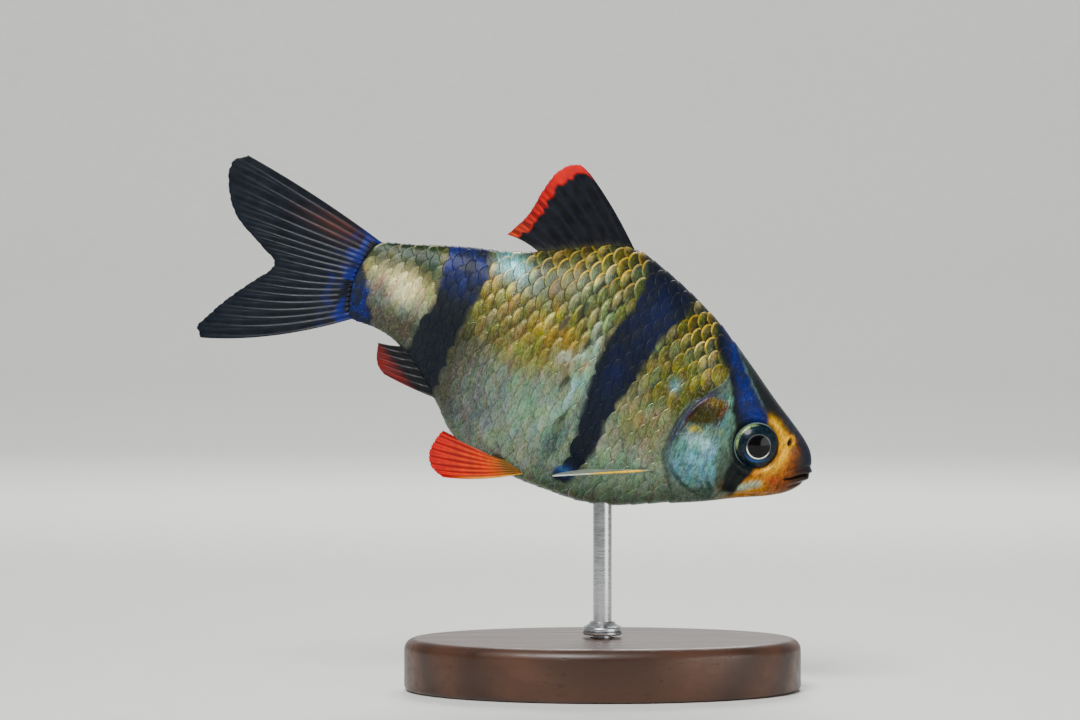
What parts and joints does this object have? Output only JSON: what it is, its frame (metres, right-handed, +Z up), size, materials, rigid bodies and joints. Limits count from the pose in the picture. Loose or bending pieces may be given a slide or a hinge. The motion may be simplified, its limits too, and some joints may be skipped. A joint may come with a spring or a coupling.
{
  "type": "tiger barb model",
  "caption": "Life-size still model of a tiger barb swimming nose down, with dark bands and red fins, on an oval stand with a steel rod.",
  "frame": {"origin": "bottom centre of the box round the fish and its stand, so the underside of the base lies on z = 0", "axes": "+X towards the snout, +Y towards the fish's left, +Z up; the fish's own axis is pitched 22 degrees nose down in the XZ plane"},
  "size_m": [0.0592, 0.025, 0.0515],
  "materials": {
    "silver_skin": "satin scaled skin",
    "snout_skin": "smooth moist skin",
    "gill_cover": "silvery",
    "black_fin": "thin rayed membrane",
    "dusky_fin": "thin rayed membrane",
    "red_fin": "thin rayed membrane",
    "clear_fin": "thin clear membrane",
    "eye": "wet gloss",
    "stand_wood": "satin dark wood",
    "stand_steel": "satin"
  },
  "bodies": {
    "root": {"head": "snout_skin", "trunk": "silver_skin", "tail_stalk": "silver_skin", "gill_cover_right": "gill_cover", "gill_cover_left": "gill_cover", "eye_right": "eye", "eye_left": "eye", "dorsal_fin": "black_fin", "caudal_fin": "dusky_fin", "anal_fin": "dusky_fin", "pectoral_fin_right": "clear_fin", "pectoral_fin_left": "clear_fin", "pelvic_fin_right": "red_fin", "pelvic_fin_left": "red_fin", "stand_base": "stand_wood", "stand_rod": "stand_steel"}
  },
  "joints": []
}
